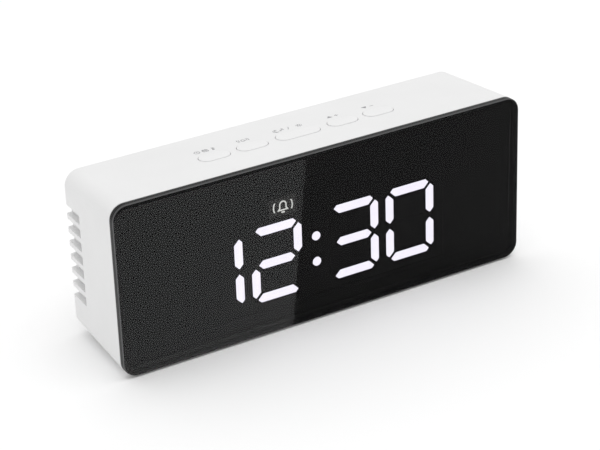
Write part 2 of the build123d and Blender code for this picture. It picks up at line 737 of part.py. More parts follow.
def lead_routes():
    """Where each inner wire runs: the cells' and the power socket's leads to the main board."""
    behind = BATTERY_FLOOR_Y - 1.2
    routes = {}
    for name, z in (("red", 42.5), ("black", 14.5)):
        routes[f"battery_lead_{name}"] = [(4, behind, z), (4, 0, z), (10, -3, z - 3), (10, BOARD_BACK, z - 3)]
    low = POWER_BOARD_TOP
    high = low + 9
    for name, x in (("red", 46.0), ("black", 52.0)):
        routes[f"power_lead_{name}"] = [(x, 8, low), (x, 8, low + 4), (x, 0, high), (x, BOARD_BACK, high)]
    return routes


# ---------------------------------------------------------------- feet and screws
def make_foot(x, y):
    """One rubber foot, cut to the height that levels the tapering case."""
    pad = pillar(FOOT_RADIUS, x, y, 0, foot_pocket_top(y))
    return fillet(pad.edges().group_by(Axis.Z)[0], 0.25)


def make_case_screws():
    """The four long-reach screws that pull the frame into the case from the back."""
    body = screw(1.25, 2.3, 1.7, 6.6)
    turned = Rot(-90, 0, 0) * body
    places = corners(CASE_POST_X, CASE_POST_Z)
    return Compound(children=[Pos(x, SCREW_SEAT_Y, z) * turned for x, z in places])


def make_board_screws():
    """The four screws that hold the main board to the front frame."""
    body = Rot(-90, 0, 0) * screw(0.9, 1.9, 1.3, 5.4)
    return Compound(children=[Pos(x, BOARD_BACK, z) * body for x, z in corners(BOARD_POST_X, BOARD_POST_Z)])


def make_key_board_screws():
    """The two screws that hold the button board up to the case's top."""
    body = Rot(180, 0, 0) * screw(0.85, 1.8, 1.2, 5.6)
    seat = KEY_BOARD_TOP - KEY_BOARD_THICKNESS
    return Compound(children=[Pos(x, y, seat) * body for x, y in key_posts()])


def make_power_board_screws():
    """The two screws that hold the power board down on its posts."""
    body = screw(0.85, 1.8, 1.2, 4.6)
    return Compound(children=[Pos(x, y, POWER_BOARD_TOP) * body for x, y in power_posts()])


# ---------------------------------------------------------------- every piece, by name
def all_pieces():
    """Every piece of the clock, by its name."""
    pieces = {
        "housing": make_housing(),
        "front_frame": make_front_frame(),
        "mirror_panel": make_mirror_panel(),
        "panel_tape": make_panel_tape(),
        "display_reflector": make_display_reflector(),
        "lit_segments": make_segments(True),
        "unlit_segments": make_segments(False),
        "icon_diffuser": make_icon_diffuser(),
        "alarm_icon": make_alarm_icon(),
        "display_leds": make_display_leds(),
        "main_board": make_main_board(),
        "main_chip": make_main_chip(),
        "driver_chip": make_driver_chip(),
        "crystal": make_crystal(),
        "capacitors": make_capacitors(),
        "buzzer": make_buzzer(),
        "key_board": make_key_board(),
        "switch_bodies": make_switch_bodies(),
        "key_ribbon": make_key_ribbon(),
        "power_board": make_power_board(),
        "usb_socket": make_usb_socket(),
        "usb_tongue": make_usb_tongue(),
        "battery_door": make_battery_door(),
        "contact_plates": make_contact_plates(),
        "contact_springs": make_contact_springs(),
        "case_screws": make_case_screws(),
        "board_screws": make_board_screws(),
        "key_board_screws": make_key_board_screws(),
        "power_board_screws": make_power_board_screws(),
    }
    for name in KEYS:
        pieces[f"{name}_button"] = make_button(name)
        pieces[f"{name}_plunger"] = make_plunger(name)
    for number, (z, side) in enumerate(cell_rows(), 1):
        pieces[f"cell_{number}"] = make_cell(z, side)
    for name, points in lead_routes().items():
        pieces[name] = make_lead(points, LEAD_BEND)
    for name, (x, y) in FOOT_PLACES.items():
        pieces[f"foot_{name}"] = make_foot(x, y)
    return pieces


os.makedirs("parts", exist_ok=True)
for node, shape in all_pieces().items():
    export_step(shape, f"parts/{node}.step")
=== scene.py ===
"""Mirror-faced digital alarm clock: looks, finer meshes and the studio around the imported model.

Every length here is in metres unless its name ends in _mm. X runs along the clock, Y from the
mirror to the back and Z up. New pieces are grids of points worked out with numpy.
"""

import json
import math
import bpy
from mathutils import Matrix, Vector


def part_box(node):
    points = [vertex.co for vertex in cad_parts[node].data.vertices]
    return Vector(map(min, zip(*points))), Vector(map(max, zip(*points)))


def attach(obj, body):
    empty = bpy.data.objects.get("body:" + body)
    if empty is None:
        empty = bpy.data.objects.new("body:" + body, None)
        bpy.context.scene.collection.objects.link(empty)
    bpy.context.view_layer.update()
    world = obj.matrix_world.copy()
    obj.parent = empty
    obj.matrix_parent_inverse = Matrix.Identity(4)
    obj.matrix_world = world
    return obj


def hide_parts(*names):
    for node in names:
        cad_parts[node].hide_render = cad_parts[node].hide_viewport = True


bl_info = {
    "name": "Mirror Alarm Clock",
    "version": (1, 0, 0),
    "blender": (4, 5, 0),
    "location": "3D View > Sidebar > Alarm Clock",
    "description": "Builds the looks of a mirror-faced alarm clock around its packed model",
    "category": "Object",
}

import bmesh
import bpy
import numpy as np
from bpy.props import FloatProperty, FloatVectorProperty, IntProperty, PointerProperty
from mathutils import Matrix, Vector

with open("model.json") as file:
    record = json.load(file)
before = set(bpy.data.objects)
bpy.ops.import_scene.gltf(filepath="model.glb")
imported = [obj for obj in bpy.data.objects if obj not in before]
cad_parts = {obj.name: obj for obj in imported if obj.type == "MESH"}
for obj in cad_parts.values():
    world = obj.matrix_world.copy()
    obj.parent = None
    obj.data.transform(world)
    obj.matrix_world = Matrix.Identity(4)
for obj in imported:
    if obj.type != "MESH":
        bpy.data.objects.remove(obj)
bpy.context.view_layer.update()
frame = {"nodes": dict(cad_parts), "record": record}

MM = 0.001
CASE_DRAFT = 1.5 * MM
BUTTON_NAMES = ("mode", "alarm", "snooze", "up", "down")


# ---------------------------------------------------------------- settings
def colour_setting(name, description, default):
    return FloatVectorProperty(
        name=name, description=description, default=default, subtype="COLOR", size=3, min=0, max=1
    )


def length_setting(name, description, default_mm):
    return FloatProperty(
        name=name, description=description, default=default_mm * MM, min=0, unit="LENGTH", precision=5
    )


def share_setting(name, description, default):
    return FloatProperty(
        name=name, description=description, default=default, min=0, max=1, subtype="FACTOR"
    )


def angle_setting(name, description, default_degrees):
    return FloatProperty(
        name=name, description=description, default=math.radians(default_degrees), subtype="ANGLE"
    )


def strength_setting(name, description, default):
    return FloatProperty(name=name, description=description, default=default, min=0)


class ClockCaseSettings(bpy.types.PropertyGroup):
    """Colours and grain of the moulded case, its buttons and its printed marks."""

    case_colour: colour_setting("Case colour", "Colour of the white case and door", (0.765, 0.765, 0.765))
    button_colour: colour_setting("Button colour", "Colour of the five buttons", (0.775, 0.775, 0.775))
    ink_colour: colour_setting("Ink colour", "Colour of the marks behind the buttons", (0.27, 0.27, 0.28))
    gloss_roughness: share_setting("Case roughness", "How matte the moulded plastic is", 0.42)
    grain: length_setting("Grain", "Size of the plastic's fine moulded grain", 0.35)
    grain_depth: length_setting("Grain depth", "Depth of the fine moulded grain", 0.003)


class ClockButtonSettings(bpy.types.PropertyGroup):
    """Shape of the button caps."""

    crown: length_setting("Crown", "How much a cap's middle rises above its edge", 0.12)
    edge_round: length_setting("Edge round", "Radius of the cap's upper edge", 0.22)
    mark_stroke: length_setting("Mark stroke", "Width of the printed lines", 0.22)
    mark_height: length_setting("Mark height", "Height of a printed mark", 2.0)
    mark_gap: length_setting("Mark gap", "From a button's middle back to its mark's middle", 5.8)
    ink_depth: length_setting("Ink depth", "Thickness of the printed ink", 0.02)


class ClockMirrorSettings(bpy.types.PropertyGroup):
    """The half-mirror front and the lights behind it."""

    tint: colour_setting("Tint", "Colour of the smoked acrylic", (0.0012, 0.0012, 0.0013))
    cover: share_setting("Cover", "Share of the light that one face of the panel holds back", 0.5)
    # Painted highlight: this grey is the pale band at the front of the panel's edge, standing in for
    # reflected studio light; the acrylic itself is near black.
    edge_highlight_colour: colour_setting(
        "Edge colour", "Colour of the polished edge near the front", (0.07, 0.07, 0.072)
    )
    corner: length_setting("Corner", "Radius of the panel's corners", 4.75)
    bevel: length_setting("Bevel", "Width of the polished bevel", 0.25)
    light_colour: colour_setting("Light colour", "Colour of the lit segments", (0.92, 0.885, 1.0))
    light_strength: strength_setting("Light strength", "Brightness of the lit segments", 3.9)
    sign_strength: strength_setting("Sign strength", "Brightness of the alarm sign", 2.6)
    window_strength: strength_setting("Window strength", "Brightness of the alarm sign's window", 0.03)


class ClockPowerSettings(bpy.types.PropertyGroup):
    """Colours and coils inside the battery compartment."""

    jacket_colour: colour_setting("Jacket colour", "Colour of the cells' jackets", (0.018, 0.045, 0.10))
    band_colour: colour_setting(
        "Band colour", "Colour of the band at the cells' raised end", (0.45, 0.23, 0.05)
    )
    spring_coils: IntProperty(name="Spring coils", description="Turns of a contact spring", default=4, min=2)
    spring_wire: length_setting("Spring wire", "Diameter of the contact springs' wire", 0.6)


class ClockStageSettings(bpy.types.PropertyGroup):
    """Camera, floor and lights."""

    azimuth: angle_setting("Azimuth", "Turn of the camera about Z", -30.63)
    elevation: angle_setting("Elevation", "Height angle of the camera", 25.71)
    roll: angle_setting("Roll", "Tilt of the camera about its own axis", -2.10)
    distance: length_setting("Distance", "From the camera to its target", 657.2)
    lens: FloatProperty(name="Lens", description="Focal length in millimetres", default=125.93, min=10)
    floor_colour: colour_setting("Floor colour", "Colour of the plain floor", (0.97, 0.97, 0.97))
    card_strength: strength_setting(
        "Card light", "Brightness of the card that the mirror's left part shows", 3.0
    )
    sky_strength: strength_setting("Sky", "Strength of the even light", 0.87)
    key_power: strength_setting("Key light", "Power of the overhead soft light", 2.5)


def settings():
    return bpy.context.scene.alarm_clock


# ---------------------------------------------------------------- shapes as grids of points
def grid_faces(rows, columns, wrap_rows=False, wrap_columns=True):
    """Quads between each point of a grid and its next neighbours, numbered row by row."""
    row = np.arange(rows if wrap_rows else rows - 1)
    column = np.arange(columns if wrap_columns else columns - 1)
    row, column = np.meshgrid(row, column, indexing="ij")
    next_row, next_column = (row + 1) % rows, (column + 1) % columns
    corners = (
        row * columns + column,
        row * columns + next_column,
        next_row * columns + next_column,
        next_row * columns + column,
    )
    return np.stack(corners, -1).reshape(-1, 4).tolist()


def ring_solid(rings):
    """A closed solid from a stack of closed rings, shape (rings, points, 3), with a flat cap at each end."""
    count, columns, _ = rings.shape
    faces = grid_faces(count, columns)
    faces.append(list(range(columns)))
    faces.append(list(range((count - 1) * columns, count * columns)))
    return rings.reshape(-1, 3), faces


def ring_tube(rings):
    """A closed tube that runs round in both directions, from a loop of closed rings."""
    count, columns, _ = rings.shape
    return rings.reshape(-1, 3), grid_faces(count, columns, wrap_rows=True)


def join_solids(solids):
    """Several (points, faces) pairs as one pair, with each face's numbers shifted past the points
    before it."""
    points, faces, start = [], [], 0
    for some_points, some_faces in solids:
        points.append(some_points)
        faces += [[index + start for index in face] for face in some_faces]
        start += len(some_points)
    return np.concatenate(points), faces


def rounded_outline(width, height, corner, steps=12):
    """A rounded rectangle about the origin: each corner is a quarter circle of the corner radius,
    whose centre is the radius in from both sides. Returns (points, 2)."""
    angle = np.linspace(0, np.pi / 2, steps)
    quarter = np.stack([np.cos(angle), np.sin(angle)], -1) * corner
    out = []
    for turn, (sx, sy) in enumerate(((1, 1), (-1, 1), (-1, -1), (1, -1))):
        spin = turn * np.pi / 2
        matrix = np.array([[np.cos(spin), np.sin(spin)], [-np.sin(spin), np.cos(spin)]])
        out.append(quarter @ matrix + [sx * (width / 2 - corner), sy * (height / 2 - corner)])
    return np.concatenate(out)


def stadium_outline(half_run, radius, steps=20):
    """A stadium about the origin: two half circles of the radius, whose centres are half_run either
    side of the middle. With no run it is a circle. Returns (points, 2)."""
    angle = np.linspace(-np.pi / 2, np.pi / 2, steps)
    end = np.stack([np.cos(angle), np.sin(angle)], -1) * radius
    return np.concatenate([end + [half_run, 0], -end - [half_run, 0]])


def circle_outline(radius, steps=32):
    """A circle about the origin: radius times cosine and sine of even steps. Returns (points, 2)."""
    angle = np.linspace(0, 2 * np.pi, steps, endpoint=False)
    return np.stack([np.cos(angle), np.sin(angle)], -1) * radius


def turned_solid(profile, steps=40):
    """A solid of revolution about X: each (x, radius) of the profile becomes a ring in Y and Z."""
    profile = np.asarray(profile, float)
    ring = circle_outline(1.0, steps)
    rings = np.empty((len(profile), steps, 3))
    rings[..., 0] = profile[:, :1]
    rings[..., 1:] = profile[:, 1, None, None] * ring
    return ring_solid(rings)


def rounded_corner(centre, radius, start, end, steps=6):
    """Points of an arc about a centre between two angles in degrees."""
    angle = np.radians(np.linspace(start, end, steps))
    return [(centre[0] + radius * c, centre[1] + radius * s) for c, s in zip(np.cos(angle), np.sin(angle))]


def add_piece(name, solid, materials, body, replaced=(), sharp=35.0, material_of=None):
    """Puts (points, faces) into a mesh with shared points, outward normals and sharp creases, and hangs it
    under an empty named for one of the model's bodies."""
    points, faces = solid
    mesh = bpy.data.meshes.new(name)
    mesh.from_pydata(np.asarray(points, float).tolist(), [], faces)
    for material in materials:
        mesh.materials.append(material)
    bm = bmesh.new()
    bm.from_mesh(mesh)
    bmesh.ops.remove_doubles(bm, verts=bm.verts, dist=1e-7)
    bmesh.ops.dissolve_degenerate(bm, edges=bm.edges, dist=1e-7)
    bmesh.ops.recalc_face_normals(bm, faces=bm.faces)
    bm.to_mesh(mesh)
    bm.free()
    mesh.shade_smooth()
    mesh.set_sharp_from_angle(angle=math.radians(sharp))
    if material_of is not None:
        centres = np.empty(len(mesh.polygons) * 3)
        normals = np.empty(len(mesh.polygons) * 3)
        mesh.polygons.foreach_get("center", centres)
        mesh.polygons.foreach_get("normal", normals)
        chosen = material_of(centres.reshape(-1, 3), normals.reshape(-1, 3)).astype(np.int32)
        mesh.polygons.foreach_set("material_index", chosen)
    piece = bpy.data.objects.new(name, mesh)
    bpy.context.scene.collection.objects.link(piece)
    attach(piece, body)
    if replaced:
        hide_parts(*replaced)
    return piece


# ---------------------------------------------------------------- materials
class Nodes:
    """A material's node tree, with short calls for what the finishes here share."""

    def __init__(self, name):
        self.material = bpy.data.materials.new(name)
        self.material.use_nodes = True
        self.tree = self.material.node_tree
        self.shader = next(n for n in self.tree.nodes if n.type == "BSDF_PRINCIPLED")
        self.place = self.add("ShaderNodeTexCoord").outputs["Object"]

    def add(self, kind, **values):
        node = self.tree.nodes.new(kind)
        for key, value in values.items():
            setattr(node, key, value)
        return node

    def link(self, source, target):
        self.tree.links.new(source, target)

    def set(self, **values):
        """Sets the shader's own sockets; an underscore in a name stands for a space."""
        for key, value in values.items():
            self.shader.inputs[key.replace("_", " ")].default_value = value

    def noise(self, size, detail=2.0, roughness=0.5, stretch=(1, 1, 1)):
        """A noise whose spots are about size metres across, stretched along the axes."""
        scaled = self.add("ShaderNodeMapping")
        scaled.inputs["Scale"].default_value = [1 / (size * s) for s in stretch]
        self.link(self.place, scaled.inputs["Vector"])
        node = self.add("ShaderNodeTexNoise")
        node.inputs["Scale"].default_value = 1.0
        node.inputs["Detail"].default_value = detail
        node.inputs["Roughness"].default_value = roughness
        self.link(scaled.outputs["Vector"], node.inputs["Vector"])
        return node.outputs["Fac"]

    def between(self, source, low, high, from_low=0.3, from_high=0.7):
        """A value that runs from low to high as the source runs over its usual range."""
        node = self.add("ShaderNodeMapRange")
        for key, value in zip(("From Min", "From Max", "To Min", "To Max"), (from_low, from_high, low, high)):
            node.inputs[key].default_value = value
        self.link(source, node.inputs["Value"])
        return node.outputs["Result"]

    def mix(self, source, first, second):
        """A colour between two, by a value; each is a colour or another node's output."""
        node = self.add("ShaderNodeMix", data_type="RGBA")
        self.link(source, node.inputs["Factor"])
        for socket, colour in (("A", first), ("B", second)):
            target = next(s for s in node.inputs if s.name == socket and s.type == "RGBA")
            if isinstance(colour, bpy.types.NodeSocket):
                self.link(colour, target)
            else:
                target.default_value = (*colour[:3], 1)
        return next(s for s in node.outputs if s.type == "RGBA")

    def colour(self, source):
        self.link(source, self.shader.inputs["Base Color"])

    def roughness(self, source):
        self.link(source, self.shader.inputs["Roughness"])

    def bump(self, source, depth):
        node = self.add("ShaderNodeBump")
        node.inputs["Strength"].default_value = 1.0
        node.inputs["Distance"].default_value = depth
        self.link(source, node.inputs["Height"])
        self.link(node.outputs["Normal"], self.shader.inputs["Normal"])


def shade(colour, factor):
    """A colour made lighter or darker, kept within 0 to 1."""
    return tuple(min(1.0, c * factor) for c in colour[:3])


def moulded_plastic(name, colour, roughness, grain, grain_depth, spread=0.02):
    """Moulded plastic: faint cloudy colour, uneven sheen and the fine grain of an etched mould."""
    look = Nodes(name)
    cloud = look.between(look.noise(0.018, 3.0), 0, 1)
    look.colour(look.mix(cloud, shade(colour, 1 - spread), shade(colour, 1 + spread)))
    look.roughness(look.between(look.noise(0.006, 4.0), roughness - 0.05, roughness + 0.05))
    look.bump(look.noise(grain, 2.0, 0.6), grain_depth)
    look.set(IOR=1.5)
    return look.material


def rubber(name, colour):
    """Soft rubber: matte, with a dusty bloom and a leathery grain."""
    look = Nodes(name)
    dust = look.between(look.noise(0.002, 5.0), 0, 1, 0.45, 0.75)
    look.colour(look.mix(dust, colour, shade(colour, 1.35)))
    look.roughness(look.between(look.noise(0.001, 3.0), 0.72, 0.88))
    look.bump(look.noise(0.0004, 3.0), 0.01 * MM)
    return look.material


def plated_metal(name, colour, roughness, brushed=(1, 1, 1)):
    """Plated sheet or wire: fine drawn lines, stains in the roughness and slight tarnish."""
    look = Nodes(name)
    tarnish = look.between(look.noise(0.003, 4.0), 0, 1)
    look.colour(look.mix(tarnish, shade(colour, 0.86), colour))
    lines = look.noise(0.0002, 3.0, 0.6, brushed)
    look.roughness(look.between(lines, roughness - 0.07, roughness + 0.1))
    look.bump(lines, 0.002 * MM)
    look.set(Metallic=1.0)
    return look.material


def smoked_mirror(tint, cover):
    """Smoked half-mirror acrylic: near black, mirror smooth, and partly clear to the lights behind."""
    look = Nodes("smoked_mirror")
    haze = look.between(look.noise(0.02, 2.0), 0, 1)
    look.colour(look.mix(haze, tint, shade(tint, 1.1)))
    look.roughness(look.between(look.noise(0.009, 4.0), 0.004, 0.012))
    look.set(IOR=1.49, Specular_IOR_Level=0.21, Alpha=cover)
    return look.material


def edge_with_painted_highlight(colour, front_y):
    """The acrylic's sawn and polished edge, with a painted highlight: a pale band near the front arris stands
    in for the bright studio reflected in the edge. It turns dark towards its black back, with fine lines
    along it."""
    look = Nodes("edge_with_painted_highlight")
    axes = look.add("ShaderNodeSeparateXYZ")
    look.link(look.place, axes.inputs["Vector"])
    depth = look.between(axes.outputs["Y"], 1, 0, front_y + 0.35 * MM, front_y + 0.65 * MM)
    lines = look.noise(0.0012, 3.0, 0.6, (6, 0.15, 6))
    # Painted highlight: the pale band's tone, varied by the fine lines.
    pale = look.mix(look.between(lines, 0, 1), shade(colour, 0.85), shade(colour, 1.15))
    # Painted highlight at the front arris, and the acrylic's own near black towards the back.
    look.colour(look.mix(depth, shade(colour, 0.16), pale))
    look.roughness(look.between(lines, 0.2, 0.34))
    look.bump(lines, 0.004 * MM)
    look.set(IOR=1.49, Specular_IOR_Level=0.2)
    return look.material


def light_trap(name, colour, cover=1.0):
    """A black that gives nothing back: flocked foam, matte ink or a smoked film."""
    look = Nodes(name)
    speck = look.between(look.noise(0.002, 4.0), 0, 1)
    look.colour(look.mix(speck, shade(colour, 0.8), shade(colour, 1.2)))
    look.roughness(look.between(look.noise(0.001, 3.0), 0.85, 0.95))
    look.bump(look.noise(0.0003, 2.0), 0.004 * MM)
    look.set(Specular_IOR_Level=0.0, Alpha=cover)
    return look.material


def glowing_diffuser(name, colour, strength, base, unevenness):
    """A lit diffuser: its light is a little brighter over each lamp than at the ends."""
    look = Nodes(name)
    patches = look.between(look.noise(0.006, 1.0), 0, 1)
    glow = look.mix(patches, shade(colour, 1 - unevenness), colour)
    look.link(glow, look.shader.inputs["Emission Color"])
    look.colour(look.mix(patches, shade(base, 0.95), base))
    look.roughness(look.between(look.noise(0.001, 2.0), 0.35, 0.45))
    look.set(Emission_Strength=strength)
    return look.material


def circuit_board(name, colour):
    """A circuit board: green mask over copper tracks that run square to each other, with soldered pads."""
    look = Nodes(name)
    tracks = look.add("ShaderNodeTexBrick")
    tracks.inputs["Scale"].default_value = 260.0
    tracks.inputs["Mortar Size"].default_value = 0.03
    tracks.inputs["Brick Width"].default_value = 1.1
    tracks.inputs["Row Height"].default_value = 0.3
    for key, tone in (("Color1", 0.0), ("Color2", 0.25), ("Mortar", 1.0)):
        tracks.inputs[key].default_value = (tone, tone, tone, 1)
    flat = look.add("ShaderNodeMapping")
    flat.inputs["Rotation"].default_value = (math.pi / 2, 0, 0)
    look.link(look.place, flat.inputs["Vector"])
    look.link(flat.outputs["Vector"], tracks.inputs["Vector"])
    copper = look.mix(tracks.outputs["Color"], colour, shade(colour, 2.1))
    look.colour(look.mix(look.between(look.noise(0.012, 3.0), 0, 0.3), copper, shade(colour, 0.7)))
    look.roughness(look.between(look.noise(0.002, 3.0), 0.25, 0.4))
    look.bump(tracks.outputs["Fac"], 0.02 * MM)
    return look.material


def inner_finishes():
    """Plain-named finishes of the pieces inside the case, by the record's slot."""
    metal = plated_metal
    dark = moulded_plastic("chip_epoxy", (0.022, 0.022, 0.024), 0.6, 0.3 * MM, 0.004 * MM)
    return {
        "frame_black": light_trap("frame_ink", (0.0015, 0.0015, 0.0015)),
        "tape_black": light_trap("tape_foam", (0.0015, 0.0015, 0.0015)),
        "diffuser_dark": light_trap("segment_dark", (0.0015, 0.0015, 0.0015)),
        "board_green": circuit_board("board_mask", (0.012, 0.11, 0.035)),
        "chip_black": dark,
        "tinned_metal": metal("tinned_metal", (0.72, 0.71, 0.68), 0.3),
        "capacitor_sleeve": moulded_plastic("capacitor_sleeve", (0.02, 0.025, 0.07), 0.3, 1 * MM, 0.002 * MM),
        "ribbon_grey": moulded_plastic("ribbon_grey", (0.42, 0.42, 0.44), 0.45, 0.6 * MM, 0.01 * MM),
        "contact_nickel": metal("contact_nickel", (0.74, 0.70, 0.62), 0.28, (1, 8, 1)),
        "screw_steel": metal("screw_zinc", (0.55, 0.56, 0.58), 0.34),
        "plunger_grey": moulded_plastic("plunger_grey", (0.16, 0.16, 0.16), 0.5, 0.3 * MM, 0.003 * MM),
        "led_yellow": moulded_plastic("lamp_phosphor", (0.75, 0.62, 0.12), 0.4, 0.2 * MM, 0.003 * MM),
        "lead_red": rubber("lead_red", (0.42, 0.02, 0.02)),
        "lead_black": rubber("lead_black", (0.015, 0.015, 0.015)),
        "foot_rubber": rubber("foot_rubber", (0.16, 0.16, 0.165)),
    }


def paint_nodes(finishes):
    """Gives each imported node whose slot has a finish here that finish."""
    slots = {entry["node"]: entry["material_slot"] for entry in frame["record"]["subparts"]}
    for name, node in frame["nodes"].items():
        material = finishes.get(slots.get(name))
        if material is not None:
            for held in node.material_slots:
                held.material = material


# ---------------------------------------------------------------- operators
class CLOCK_OT_case(bpy.types.Operator):
    """Give the case, the battery door and every inner piece its finish."""

    bl_idname = "alarm_clock.case"
    bl_label = "Case and inner pieces"

    def execute(self, context):
        look = settings().case
        finishes = inner_finishes()
        finishes["case_white"] = moulded_plastic(
            "case_white", look.case_colour, look.gloss_roughness, look.grain, look.grain_depth, 0.012
        )
        paint_nodes(finishes)
        return {"FINISHED"}


class CLOCK_OT_mirror(bpy.types.Operator):
    """Build the half-mirror front with its bevelled, polished edge, which carries a painted highlight near
    the front.
    """

    bl_idname = "alarm_clock.mirror"
    bl_label = "Mirror panel"

    def execute(self, context):
        """Rings of one rounded rectangle, drawn in by a profile that runs from the back face, round
        the edge and over the bevel to the front face; a black tube lines the edge from inside."""
        look = settings().mirror
        low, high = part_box("mirror_panel")
        size, middle = high - low, (high + low) / 2
        bevel, guard = look.bevel, 1.5 * MM
        profile = [
            (guard, high.y),
            (0.15 * bevel, high.y),
            (0, high.y - 0.15 * bevel),
            (0, low.y + bevel),
            (0.06 * bevel, low.y + 0.85 * bevel),
            (0.85 * bevel, low.y + 0.06 * bevel),
            (bevel, low.y),
            (guard, low.y),
        ]
        behind, before = high.y - 0.02 * MM, low.y + 0.03 * MM
        near, far = 0.3 * bevel, 2.5 * bevel
        lining = [(near, behind), (near, low.y + bevel), (1.1 * bevel, before), (far, before), (far, behind)]

        def rings(steps):
            outlines = []
            for inset, y in steps:
                outline = rounded_outline(size.x - 2 * inset, size.z - 2 * inset, look.corner - inset, 16)
                depth = np.full((len(outline), 1), y)
                outlines.append(np.hstack([outline[:, :1] + middle.x, depth, outline[:, 1:] + middle.z]))
            return np.stack(outlines)

        front = smoked_mirror(look.tint, look.cover)
        film = light_trap("mirror_film", look.tint, look.cover)
        # The edge material paints a highlight band near the front arris.
        edge = edge_with_painted_highlight(look.edge_highlight_colour, low.y)
        add_piece(
            "mirror_front",
            ring_solid(rings(profile)),
            [front, edge, film],
            "case",
            ["mirror_panel"],
            sharp=28.0,
            material_of=lambda centres, normals: np.where(normals[:, 1] > 0.95, 2, normals[:, 1] > -0.95),
        )
        ink = light_trap("edge_ink", look.tint)
        add_piece("mirror_edge_ink", ring_tube(rings(lining)), [ink], "case")
        return {"FINISHED"}


class CLOCK_OT_display(bpy.types.Operator):
    """Light the time's segments, the alarm sign and its window."""

    bl_idname = "alarm_clock.display"
    bl_label = "Display lights"

    def execute(self, context):
        look = settings().mirror
        lit = glowing_diffuser("segment_light", look.light_colour, look.light_strength, (0.8, 0.8, 0.8), 0.03)
        sign = glowing_diffuser("sign_light", (0.95, 0.96, 0.93), look.sign_strength, (0.5, 0.5, 0.5), 0.1)
        paint_nodes({"lit_white": lit, "lit_grey": sign})
        window = glowing_diffuser(
            "sign_window", (1.0, 0.97, 0.86), look.window_strength, (0.002, 0.002, 0.002), 0.3
        )
        for held in frame["nodes"]["icon_diffuser"].material_slots:
            held.material = window
        return {"FINISHED"}


def case_top(y):
    """The height of the case's sloping top at a depth."""
    low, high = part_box("housing")
    return high.z - CASE_DRAFT * (y - low.y) / (high.y - low.y)


def button_middle(name):
    """The middle of a button in X and Y."""
    low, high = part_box(f"{name}_button")
    return (low.x + high.x) / 2, (low.y + high.y) / 2


class CLOCK_OT_buttons(bpy.types.Operator):
    """Build the five crowned button caps with their flanges and stems."""

    bl_idname = "alarm_clock.buttons"
    bl_label = "Button caps"

    def execute(self, context):
        """Each ring is a stadium, and its height is the case's slope plus a profile: stem, flange,
        straight side, a quarter circle at the edge, then a crown that falls off with the square of
        the distance from the middle."""
        look = settings().buttons
        case = settings().case
        roughness = case.gloss_roughness - 0.04
        paint = moulded_plastic(
            "button_white", case.button_colour, roughness, case.grain, case.grain_depth, 0.008
        )
        lip, flange, cap_radius, stem_radius = 0.95 * MM, 0.8 * MM, 2.75 * MM, 1.5 * MM
        proud = 0.33 * MM
        for name in BUTTON_NAMES:
            low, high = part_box(f"{name}_button")
            x, y = button_middle(name)
            run = (high.x - low.x) / 2 - lip - cap_radius
            flange_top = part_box("mode_plunger")[1].z + 1.7 * MM + flange
            edge = look.edge_round
            rows = [(0, stem_radius, low.z, 0), (0, stem_radius, flange_top - flange, 0)]
            rows.append((run, cap_radius + lip, flange_top - flange, 0))
            rows.append((run, cap_radius + lip, flange_top, 0))
            rows.append((run, cap_radius, flange_top, 0))
            for angle in np.radians(np.linspace(0, 90, 7)):
                inset = edge * (1 - math.cos(angle))
                rows.append((run, cap_radius - inset, edge * math.sin(angle) - edge - look.crown, 1))
            for share in np.linspace(0.9, 0.04, 12):
                radius = (cap_radius - edge) * share
                rows.append((run, radius, -look.crown * (radius / (cap_radius - edge)) ** 2, 1))
            rings = []
            for half_run, radius, height, sloped in rows:
                outline = stadium_outline(half_run, radius) + [x, y]
                top = case_top(outline[:, 1:]) + proud + height
                level = np.full((len(outline), 1), height)
                rings.append(np.hstack([outline, top if sloped else level]))
            add_piece(
                f"{name}_cap",
                ring_solid(np.stack(rings)),
                [paint],
                f"{name}_key",
                [f"{name}_button"],
                sharp=40.0,
            )
        return {"FINISHED"}


# ---------------------------------------------------------------- printed marks
def stroke(path, width, closed=False):
    """A printed line: the path moved half the width to each side along its own normal, with a
    height of 0 or 1 for the ink's foot and top. Returns (points, faces) with points in (u, v, level)."""
    path = np.asarray(path, float)
    if closed:
        along = np.roll(path, -1, 0) - np.roll(path, 1, 0)
    else:
        along = np.gradient(path, axis=0)
    along /= np.linalg.norm(along, axis=1, keepdims=True)
    side = np.stack([-along[:, 1], along[:, 0]], -1) * (np.asarray(width).reshape(-1, 1) / 2)
    rails = []
    for sign, level in ((1, 0), (1, 1), (-1, 1), (-1, 0)):
        rails.append(np.hstack([path + sign * side, np.full((len(path), 1), level)]))
    grid = np.stack(rails, 1)
    faces = grid_faces(len(path), 4, wrap_rows=closed)
    if not closed:
        faces += [[0, 1, 2, 3], [4 * len(path) - 4 + k for k in range(4)]]
    return grid.reshape(-1, 3), faces


def patch(outline):
    """A filled printed shape: its outline at the ink's foot and top."""
    outline = np.asarray(outline, float)
    rings = [np.hstack([outline, np.full((len(outline), 1), level)]) for level in (0, 1)]
    return ring_solid(np.stack(rings))


def moved(solid, u, v=0.0):
    points, faces = solid
    return points + [u, v, 0], faces


def bell_mark(width):
    """A bell: half a circle over straight sides that flare to a flat foot, a clapper and two arcs."""
    dome = rounded_corner((0, 0.18), 0.5, 180, 0, 12)
    body = dome + [(0.5, -0.25), (0.78, -0.62), (-0.78, -0.62), (-0.5, -0.25)]
    clapper = rounded_corner((0, -0.66), 0.24, 180, 360, 8)
    solids = [stroke(body, width, closed=True), patch(clapper)]
    for side in (0, 180):
        solids.append(stroke(rounded_corner((0, 0.1), 1.35, side - 32, side + 32, 10), width))
        solids.append(stroke(rounded_corner((0, 0.1), 1.95, side - 30, side + 30, 10), width))
    return join_solids(solids)


